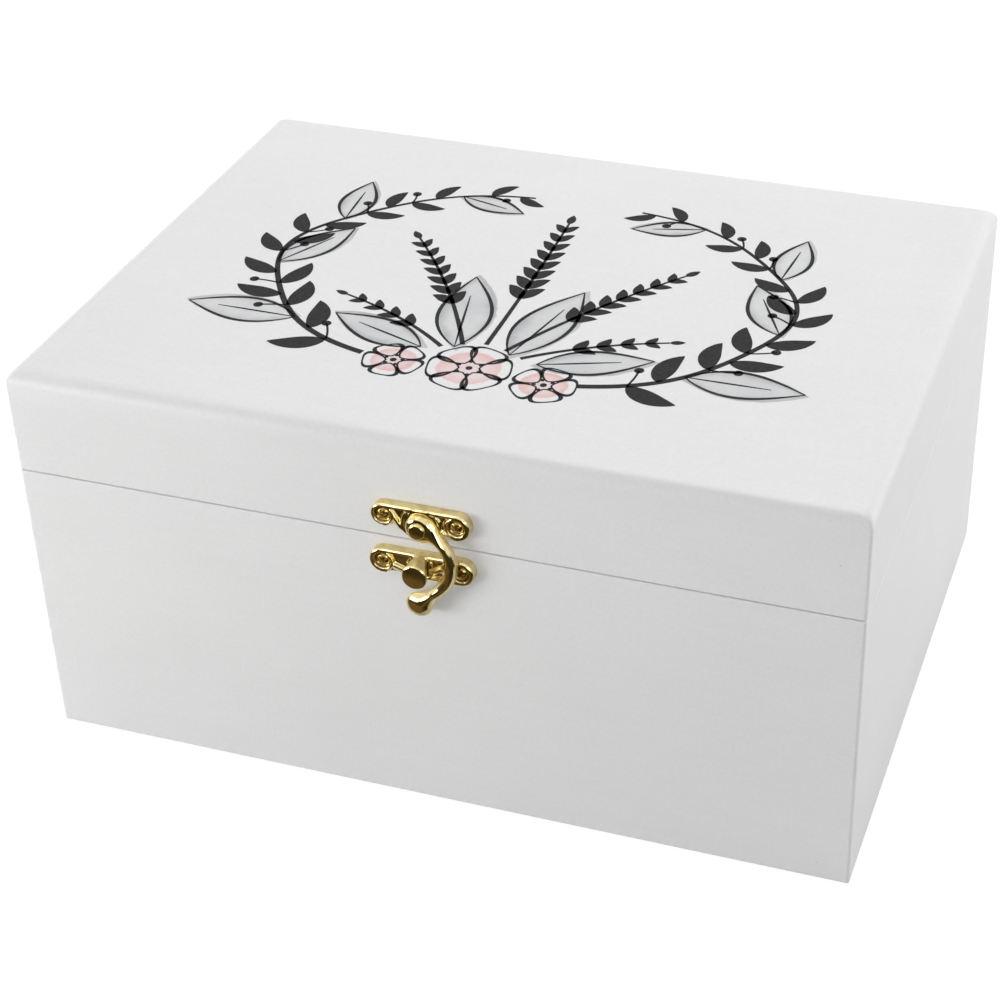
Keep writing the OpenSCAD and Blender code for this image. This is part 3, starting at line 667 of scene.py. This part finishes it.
ring_steps = np.array([len(run) for run in strokes])
first_point = np.concatenate([[0], np.cumsum(ring_steps * 4)])[:-1]
ink_faces = []
for start, steps in zip(first_point, ring_steps):
    ink_faces += (skin(steps, 4) + start).tolist()
    last = start + (steps - 1) * 4
    ink_faces += [[start + 3, start + 2, start + 1, start], [last, last + 1, last + 2, last + 3]]
ink = bpy.data.materials.new("print_ink")
ink.use_nodes = True
ink_paint = ink.node_tree.nodes["Principled BSDF"]
ink_place = ink.node_tree.nodes.new("ShaderNodeTexCoord")
ink_dry = noise_node(ink.node_tree, ink_place.outputs["Object"], skin_scale, 3)
ink_tone = colour_mix(ink.node_tree, ink_dry.outputs[0], ink_black, ink_worn)
ink.node_tree.links.new(ink_tone, ink_paint.inputs["Base Color"])
ink_paint.inputs["Roughness"].default_value = 0.7
ink_paint.inputs["Specular IOR Level"].default_value = 0.15
wreath_print = new_piece("wreath_print", np.concatenate([run.reshape(-1, 3) for run in strokes]),
                         ink_faces, ink, 30)
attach(wreath_print, "lid")

add_washes(top_paint, grey_leaves, wash_grey)
add_washes(top_paint, pink_touches, wash_pink)

# The hinges: two butt hinges of brass strip, half sunk in the rear rims, with their pins and
# countersunk screws. The strip is rolled and only lightly polished.
wave_scale = 330
pit_scale = 1500
sand_scale = 1900
wave_height = 2.0
skin_bump_strength = 0.6
sand_bump_strength = 0.9
side_facing = (0.55, 0.25)
side_roughness = 0.22
wave_roughness = 0.14
worn_waves = (0.30, 0.55)
worn_colour = (0.84, 0.79, 0.70)


def brass(name, colour, roughness, skin_depth, sand_depth):
    """A material of yellow brass. skin_depth is how deep the waves and pits of its polished
    skin are, in metres, and sand_depth that of the grain that the mould leaves on its sides,
    which are matt and not polished. In its hollows the brass is a little darker and redder."""
    material = bpy.data.materials.new(name)
    material.use_nodes = True
    tree = material.node_tree
    metal = tree.nodes["Principled BSDF"]
    metal.inputs["Metallic"].default_value = 1.0
    place = tree.nodes.new("ShaderNodeTexCoord")
    facing = node_of(tree, "ShaderNodeSeparateXYZ", Vector=place.outputs["Normal"])
    sides = ramp_node(tree, math_node(tree, "ABSOLUTE", facing.outputs["Y"]), *side_facing)
    waves = noise_node(tree, place.outputs["Object"], wave_scale, 2).outputs[0]
    pits = noise_node(tree, place.outputs["Object"], pit_scale, 3).outputs[0]
    sand = noise_node(tree, place.outputs["Object"], sand_scale, 2).outputs[0]
    relief = math_node(tree, "ADD", pits, math_node(tree, "MULTIPLY", waves, wave_height))
    skin_bump = node_of(tree, "ShaderNodeBump", Distance=skin_depth, Strength=skin_bump_strength,
                        Height=relief)
    sand_bump = node_of(tree, "ShaderNodeBump", Distance=sand_depth, Strength=sand_bump_strength,
                        Height=math_node(tree, "MULTIPLY", sand, sides), Normal=skin_bump.outputs[0])
    tree.links.new(sand_bump.outputs[0], metal.inputs["Normal"])
    gloss = math_node(tree, "MULTIPLY", waves, wave_roughness)
    gloss = math_node(tree, "ADD", gloss, roughness - wave_roughness / 2)
    gloss = math_node(tree, "ADD", gloss, math_node(tree, "MULTIPLY", sides, side_roughness))
    tree.links.new(gloss, metal.inputs["Roughness"])
    worn = (*np.multiply(colour, worn_colour).tolist(), 1)
    tone = colour_mix(tree, ramp_node(tree, waves, *worn_waves), worn, (*colour, 1))
    tree.links.new(tone, metal.inputs["Base Color"])
    return material


rolled_brass = brass("rolled_brass", (0.80, 0.66, 0.36), roughness=0.30, skin_depth=0.000006,
                     sand_depth=0.000004)
for side in ("left", "right"):
    for part in ("base_leaf", "lid_leaf", "pin"):
        finish_node(f"{side}_hinge_{part}", rolled_brass)
for screws in ("hinge_base_screws", "hinge_lid_screws"):
    finish_node(screws, rolled_brass)

# The clasp's two plates: small brass castings. A raised rim runs round each, with a ring
# round each screw's sunk seat and a sunk field between. The lid's plate swells to a boss for
# the rivet, and the lower plate carries the catch post.
def smooth_min(a, b, blend):
    """The lesser of two fields, rounded where they are within blend of each other."""
    share = np.clip(0.5 + 0.5 * (b - a) / blend, 0, 1)
    return b + (a - b) * share - blend * share * (1 - share)


def smooth_max(a, b, blend):
    """The greater of two fields, rounded where they are within blend of each other."""
    return -smooth_min(-a, -b, blend)


def smooth_step(low, high, value):
    """0 below low, 1 above high and an even rise between."""
    t = np.clip((value - low) / (high - low), 0, 1)
    return t * t * (3 - 2 * t)


def block(x, y, x0, x1, y0, y1):
    """The distance to a rectangle's outline, negative inside."""
    dx = np.abs(x - (x0 + x1) / 2) - (x1 - x0) / 2
    dy = np.abs(y - (y0 + y1) / 2) - (y1 - y0) / 2
    return np.hypot(np.maximum(dx, 0), np.maximum(dy, 0)) + np.minimum(np.maximum(dx, dy), 0)


def casting(field, low, high, grain):
    """The surface on which field(x, y, z) is 0, where it is negative inside. Space between low
    and high is cut in cubes of size grain. Each cube that the surface passes gets one point,
    the mean of the places where it cuts the cube's edges, moved onto the surface along the
    field's slope. Round each cut edge, the points of its four cubes make a face."""
    axes = [np.arange(a, b + grain, grain) for a, b in zip(low, high)]
    value = field(*np.meshgrid(*axes, indexing="ij"))
    cells = tuple(n - 1 for n in value.shape)
    total = np.zeros((*cells, 3))
    count = np.zeros(cells)
    cuts = []
    for axis in range(3):
        start = np.take(value, range(cells[axis]), axis)
        end = np.take(value, range(1, cells[axis] + 1), axis)
        where = np.argwhere((start < 0) != (end < 0))
        near, far = start[tuple(where.T)], end[tuple(where.T)]
        spot = where.astype(float)
        spot[:, axis] += near / (near - far)
        ways = [(axis + 1) % 3, (axis + 2) % 3]
        corners = []
        for back in ((1, 1), (0, 1), (0, 0), (1, 0)):
            cell = where.copy()
            cell[:, ways] -= back
            np.add.at(total, tuple(cell.T), spot)
            np.add.at(count, tuple(cell.T), 1)
            corners.append(np.ravel_multi_index(tuple(cell.T), cells))
        ring = np.stack(corners, -1)
        ring[near > 0] = ring[near > 0, ::-1]
        cuts.append(ring)
    used = np.flatnonzero(count)
    number = np.full(count.size, -1)
    number[used] = np.arange(len(used))
    points = np.array(low) + grain * total.reshape(-1, 3)[used] / count.ravel()[used, None]
    nudge = grain * 0.05
    for _ in range(3):
        here = field(*points.T)
        ahead = [field(*(points + nudge * way).T) for way in np.eye(3)]
        slope = np.stack([there - here for there in ahead], -1) / nudge
        step = here / np.maximum((slope ** 2).sum(1), 0.05)
        points -= np.clip(step[:, None] * slope, -grain / 2, grain / 2)
    return points, number[np.concatenate(cuts)].tolist()


def front_piece(name, points, faces, material, place, body, stands_for):
    """A brass piece on the box's front from points (x to the right, y up, height off the
    front), with place as its origin in the front's x and z. It rides on body."""
    at = np.stack([place[0] + points[:, 0], front_y - points[:, 2], place[1] + points[:, 1]], -1)
    piece = new_piece(name, at, faces, material, 180)
    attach(piece, body)
    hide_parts(stands_for)
    return piece


def cast_piece(name, field, material, place, body, stands_for):
    """A casting on the front, worked out in the space round the solid that it stands for."""
    low, high = (np.array(corner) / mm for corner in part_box(stands_for))
    low_corner = np.array([low[0] - place[0], low[2] - place[1], front_y - high[1]]) - 4 * grain
    high_corner = np.array([high[0] - place[0], high[2] - place[1], front_y - low[1]]) + 4 * grain
    points, faces = casting(field, low_corner, high_corner, grain)
    return front_piece(name, points, faces, material, place, body, stands_for)


cast_brass = brass("cast_brass", (0.84, 0.71, 0.37), roughness=0.115, skin_depth=0.000008,
                   sand_depth=0.00022)
grain = 0.16
front_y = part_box("base_front")[0].y / mm
pivot = frame["joints"][1]["pos_m"]
pivot = (pivot[0] / mm, pivot[2] / mm)
plate_t = 3.2
bar_half = 3.8
rim_w = 1.15
field_depth = 0.85
seat_r = 2.8
seat_floor_r = 2.4
seat_depth = 1.1
seat_rim_w = 0.85
ridge_rise = 0.22
ridge_half = 0.55
rim_ridge_half = 0.75
slope_ridge_half = 0.85
slope_fall = 0.6
island_gap = 0.35
field_blend = 0.5
field_wall = (0.45, -0.5)
slope_cut = (0.6, 1.2)
boss_r = 6.0
boss_rise = 0.3
lid_plate_top = 5.6
left_lobe = (-12.1, 1.8, 3.8)
right_lobe = (11.1, 1.2, 4.4)
lid_slope = ((-9.2, 2.8), (-5.6, -3.0))
face_round = 0.75
edge_round = 0.1
corner_round = 0.2
left_fillet = 0.8
boss_fillet = 3.2
right_fillet = 1.2
rivet_hole_r = 1.55


def ridge(distance, half_width, height):
    """A round-topped ridge where distance is 0: height times one less the square of the
    distance in half widths."""
    return height * np.clip(1 - (distance / half_width) ** 2, 0, 1)


def beyond(x, y, start, end):
    """The distance to the right of the line from start to end, negative to its left."""
    way = np.subtract(end, start) / np.hypot(*np.subtract(end, start))
    return (x - start[0]) * way[1] - (y - start[1]) * way[0]


def plate_face(x, y, outline, seats, island, island_ridge, slope):
    """The height of a plate's face: its full thickness, less a sunk field that keeps clear of
    the rim, of the rings round the seats and of the island. A ridge rises on each of these
    borders, on the island's as far as island_ridge says from 0 to 1, and each screw's round
    seat is sunk. To the right of the first seat a thick ridge runs where slope is 0, and
    beyond it the face falls away to the edge."""
    edges = [np.hypot(x - seat_x, y - seat_y) - seat_r for seat_x, seat_y in seats]
    between = smooth_step(0.2, 1.2, island) * smooth_step(0.5, 1.3, edges[0])
    between = between * smooth_step(1.0, 2.8, x - seats[0][0])
    clear = smooth_max(outline + rim_w, island_gap - island, field_blend)
    clear = smooth_max(clear, np.where(x < 0, slope + 0.75, clear), field_blend)
    crest = np.maximum(ridge(outline + rim_w * 0.62, rim_ridge_half, ridge_rise),
                       ridge(island - 0.1, ridge_half, ridge_rise) * island_ridge)
    for edge in edges:
        clear = smooth_max(clear, seat_rim_w - edge, field_blend)
        crest = np.maximum(crest, ridge(edge - 0.42, ridge_half, ridge_rise))
    crest = crest * (1 - between * smooth_step(*slope_cut, slope))
    crest = np.maximum(crest, ridge(slope, slope_ridge_half, ridge_rise * 1.5) * between)
    face = plate_t + crest - field_depth * smooth_step(*field_wall, clear)
    face = face - slope_fall * np.clip(slope - 0.2, 0, 2.2) * between
    for edge in edges:
        bowl = smooth_step(0.1, seat_floor_r - seat_r, edge)
        face = face - (face - (plate_t - seat_depth)) * bowl
    return face


def lid_plate(x, y, z):
    """Two lobes and a bar that run into the rivet's boss, cut level along the top."""
    left = np.hypot(x - left_lobe[0], y - left_lobe[1]) - left_lobe[2]
    right = np.hypot(x - right_lobe[0], y - right_lobe[1]) - right_lobe[2]
    bar = block(x, y, left_lobe[0], right_lobe[0], lid_plate_top - 2 * bar_half, lid_plate_top)
    boss = np.hypot(x, y) - boss_r
    outline = smooth_min(smooth_min(left, bar, left_fillet), smooth_min(boss, bar, boss_fillet),
                         corner_round)
    outline = smooth_max(smooth_min(outline, right, right_fillet), y - lid_plate_top, corner_round)
    seats = (left_lobe[:2], right_lobe[:2])
    left_ridge = smooth_step(4.5, 2.5, x)
    face = plate_face(x, y, outline, seats, boss, left_ridge, beyond(x, y, *lid_slope))
    face = face + (boss_rise + plate_t - face) * smooth_step(-0.2, -1.2, boss)
    solid = smooth_max(outline, z - face, face_round)
    hole = rivet_hole_r - np.hypot(x, y)
    return smooth_max(smooth_max(solid, -z, edge_round), hole, edge_round)


cast_piece("lid_plate", lid_plate, cast_brass, pivot, "lid", "clasp_lid_plate")

catch_low, catch_high = (np.array(corner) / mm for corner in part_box("clasp_catch_plate"))
catch = ((catch_low[0] + catch_high[0]) / 2, (catch_low[2] + catch_high[2]) / 2)
catch_lobe_r = (catch_high[2] - catch_low[2]) / 2
catch_half = (catch_high[0] - catch_low[0]) / 2 - catch_lobe_r
post_r = 4.1
post_foot = 1.55
post_head = plate_t + 5.0
post_top = front_y - catch_low[1]
flank_curve = 1.1
flank_lean = 0.88
flank_round = 0.6
head_round = 0.7
head_crown = 0.014
post_fillet = 0.9
catch_seats = ((-catch_half, 0), (catch_half, 0))
catch_slope = ((-10.2, -0.6), (-5.2, -2.3))


def catch_plate(x, y, z):
    """A plate with round ends, and the post: a round bar whose two flanks flare evenly from a
    narrow foot to the head, with a low crown on the head's face."""
    outline = np.hypot(np.maximum(np.abs(x) - catch_half, 0), y) - catch_lobe_r
    radius = np.hypot(x, y)
    slope = beyond(x, y, *catch_slope)
    face = plate_face(x, y, outline, catch_seats, radius - post_r, 1, slope)
    plate = smooth_max(smooth_max(outline, z - face, face_round), -z, edge_round)
    rise = np.clip((z - plate_t) / (post_head - plate_t), 0, 1)
    flank = (np.abs(x) - post_foot - (post_r - post_foot) * rise ** flank_curve) * flank_lean
    crown = z - post_top + head_crown * radius ** 2
    post = smooth_max(smooth_max(radius - post_r, flank, flank_round), crown, head_round)
    return smooth_max(smooth_min(plate, post, post_fillet), -z, edge_round)


cast_piece("catch_plate", catch_plate, cast_brass, catch, "base", "clasp_catch_plate")

# The hook: one brass casting that turns on the rivet. Its ring runs into a curved arm with a
# round back, which swells beside the post and carries a nose that catches it. The arm ends
# in a flat knob for the finger.
cap_r = 2.6
ring_back = plate_t + boss_rise + 0.1
ring_r = 4.3
ring_t = 2.3
ring_edge = 0.5
bend_r = 12.2
bend_from = radians(78.6)
bend_to = radians(78.6 - 125.2)
bend_x = -bend_r * np.cos(bend_from)
bend_y = -bend_r * np.sin(bend_from)
bend_l = bend_r * (bend_from - bend_to)
tail_l = 10.22
arm_l = bend_l + tail_l
arm_w = 3.6
tail_w = 3.4
arm_t = 3.0
arm_side = 0.5
swell = 0.8
knob_r = 4.2
knob_round = 2.2
knob_mid = ring_back + ring_t / 5
tail_way = (np.sin(bend_to), -np.cos(bend_to))
tail_x = bend_x + bend_r * np.cos(bend_to)
tail_y = bend_y + bend_r * np.sin(bend_to)
knob = (tail_x + tail_l * tail_way[0], tail_y + tail_l * tail_way[1])
nose_tip = (catch[0] - pivot[0] + 3.75, catch[1] - pivot[1] + 0.3)
nose_root_angle = bend_to + 0.42 * (bend_from - bend_to)
nose_way = (bend_x + bend_r * np.cos(nose_root_angle) - nose_tip[0],
            bend_y + bend_r * np.sin(nose_root_angle) - nose_tip[1])
nose_l = np.hypot(*nose_way)
nose_way = np.array(nose_way) / nose_l
nose_sag = 0.35
nose_height = 1.0
nose_r = 0.8
nose_growth = 0.6
ring_fillet = 1.4
nose_fillet = 1.2
knob_fillet = 2.2
crown_at_ring = 0.74
crown_drop = 0.30
crown_rises = (2.5, 9.0)
crown_falls = (arm_l - 9.0, arm_l - 1.0)
arm_end = 1.8


def hump(d, start, end):
    """A smooth rise and fall of d between start and end, 1 in the middle and 0 outside."""
    t = np.clip((d - start) / (end - start), 0, 1)
    return (1 - np.cos(2 * pi * t)) / 2


def arm_half(d):
    """Half the arm's width at length d: an even taper, and a root that grows out of the ring."""
    taper = (arm_w + (tail_w - arm_w) * d / arm_l) / 2
    return taper + (ring_r - arm_w / 2) * hump(d, -2 * ring_r, 2 * ring_r)


def rounded_bar(outward, away, d, z):
    """The field of the arm's section, half an ellipse on low upright sides, at a distance
    outward from its middle, away from its end and a length d along it. The inner side bulges
    towards the post. The crown rises out of the ring and falls towards the knob."""
    inner = arm_half(d) + swell * hump(d, 2 * ring_r, arm_l - knob_r)
    half = np.where(outward > 0, arm_half(d), inner)
    crown = (arm_t - arm_side) * (crown_at_ring + (1 - crown_at_ring) * smooth_step(*crown_rises, d))
    crown = crown * (1 - crown_drop * smooth_step(*crown_falls, d))
    foot = ring_back + 0.1 + arm_side
    across = np.hypot(outward / half, away / arm_end)
    dome = np.hypot(across, np.maximum(z - foot, 0) / crown) - 1
    return dome * np.minimum(half, crown)


def hook(x, y, z):
    """The union of ring, bend, tail, nose and knob, with round fillets between them."""
    radius = np.hypot(x, y)
    slope = np.clip((radius - cap_r + 0.5) / (ring_r - cap_r + 0.7), 0, 1)
    ring_face = ring_back + ring_edge + (ring_t - ring_edge) * np.sqrt(1 - slope ** 2)
    ring = smooth_max(radius - ring_r, z - ring_face, 0.5)
    spoke = np.hypot(x - bend_x, y - bend_y)
    angle = np.arctan2(y - bend_y, x - bend_x)
    at = np.clip(angle, bend_to, bend_from - 0.2)
    past = bend_r * np.abs(angle - at)
    bend = rounded_bar(spoke - bend_r, past, bend_r * (bend_from - at), z)
    run = (x - tail_x) * tail_way[0] + (y - tail_y) * tail_way[1]
    outward = (x - tail_x) * -tail_way[1] + (y - tail_y) * tail_way[0]
    kept = np.clip(run, 0, tail_l - 2.0)
    tail = rounded_bar(outward, run - kept, bend_l + kept, z)
    arm = np.minimum(bend, tail)
    reach = (x - nose_tip[0]) * nose_way[0] + (y - nose_tip[1]) * nose_way[1]
    share = np.clip(reach / nose_l, 0, 1)
    sag = nose_sag * 4 * share * (1 - share)
    nose = np.hypot(x - nose_tip[0] - nose_l * share * nose_way[0] - sag * nose_way[1],
                    y - nose_tip[1] - nose_l * share * nose_way[1] + sag * nose_way[0])
    nose = np.hypot(nose, z - ring_back - nose_height) - (nose_r + nose_growth * share)
    body = smooth_min(smooth_min(ring, arm, ring_fillet), nose, nose_fillet)
    body = smooth_max(body, ring_back - z, 0.3)
    button = np.hypot(np.hypot(x - knob[0], y - knob[1]) / knob_r, (z - knob_mid) / knob_round) - 1
    button = button * knob_round
    return smooth_max(smooth_min(body, button, knob_fillet), rivet_hole_r - radius, edge_round)


cast_piece("hook", hook, cast_brass, pivot, "hook", "clasp_hook")

# The rivet: a brass pin through the hook's ring, with a flat round cap that holds the hook.
# It is fixed in the boss of the lid's plate, and the ring turns on it.
def turned_piece(profile, steps):
    """Points and faces of the profile's (radius, height) points carried once round the axis."""
    angle = np.linspace(0, 2 * pi, steps, endpoint=False)
    radius, height = np.asarray(profile).T
    points = np.stack([radius[:, None] * np.cos(angle), radius[:, None] * np.sin(angle),
                       height[:, None] + 0 * angle], -1)
    return points.reshape(-1, 3), skin(len(profile), steps).tolist()


def arc(centre, radius, start, end, steps):
    """Points of an arc about centre from start to end degrees."""
    a = np.radians(np.linspace(start, end, steps))
    return np.stack([centre[0] + radius * np.cos(a), centre[1] + radius * np.sin(a)], -1)


rivet_r = 1.5
cap_back = ring_back + ring_t + 0.1
cap_t = 1.1
cap_edge = 0.6
cap_profile = np.concatenate([
    [[0, 0], [rivet_r, 0], [rivet_r, cap_back], [cap_r - 0.1, cap_back], [cap_r, cap_back + 0.1]],
    arc((cap_r - cap_edge, cap_back + cap_t - 0.1 - cap_edge), cap_edge, 0, 83, 9),
    [[1.3, cap_back + cap_t - 0.03], [0.6, cap_back + cap_t - 0.01], [0, cap_back + cap_t]]])
front_piece("rivet", *turned_piece(cap_profile, 64), cast_brass, pivot, "lid", "clasp_rivet")

# The clasp's screws: four round-headed brass screws with a cross recess, driven into the
# boards through the plates' seats. Their brass is darker and browner than that of the castings.
screw_brass = brass("screw_brass", (0.43, 0.295, 0.085), roughness=0.25, skin_depth=0.000014,
                    sand_depth=0.00001)
screw_head_r = 2.3
screw_head_h = 1.2
screw_r = 1.1
screw_l = 9.0
screw_point = 2.0
cross_half = 0.42
cross_reach = 1.5
cross_depth = 0.95
screw_seat = plate_t - seat_depth


def slot(across, along):
    """1 in one arm of the cross recess and 0 outside it, with sloping sides."""
    return smooth_step(cross_half, cross_half * 0.4, across) * smooth_step(cross_reach, 1.0, along)


def screw(place, turn):
    """A screw turned from its profile, a point, a shank and a dome, with the dome lowered by
    cross_depth in the arms of the cross recess."""
    dome_r = (screw_head_r ** 2 + screw_head_h ** 2) / (2 * screw_head_h)
    edge = np.degrees(np.arcsin(screw_head_r / dome_r))
    dome = arc((0, screw_seat + screw_head_h - dome_r), dome_r, 90 - edge, 90, 22)
    shank = [[0, screw_seat - screw_l], [screw_r, screw_seat - screw_l + screw_point],
             [screw_r, screw_seat], [screw_head_r, screw_seat]]
    points, faces = turned_piece(np.concatenate([shank, dome]), 96)
    x, y = np.abs(turned(points[:, 0], points[:, 1], -turn, (0, 0)))
    cross = np.maximum(slot(x, y), slot(y, x))
    points[:, 2] -= np.where(points[:, 2] > screw_seat + 0.05, cross_depth * cross, 0)
    return points + np.array([place[0], place[1], 0]), faces


def screw_pair(name, places, turns, origin, body, stands_for):
    """Two screws as one piece, on the plate that they hold."""
    first, faces = screw(places[0], turns[0])
    second, _ = screw(places[1], turns[1])
    both = faces + (np.array(faces) + len(first)).tolist()
    return front_piece(
        name, np.concatenate([first, second]), both, screw_brass, origin, body, stands_for)


screw_pair("lid_plate_screws", (left_lobe[:2], right_lobe[:2]), (0.35, 0.9), pivot, "lid",
           "clasp_lid_screws")
screw_pair("catch_plate_screws", catch_seats, (0.7, 0.2), catch, "base", "clasp_catch_screws")
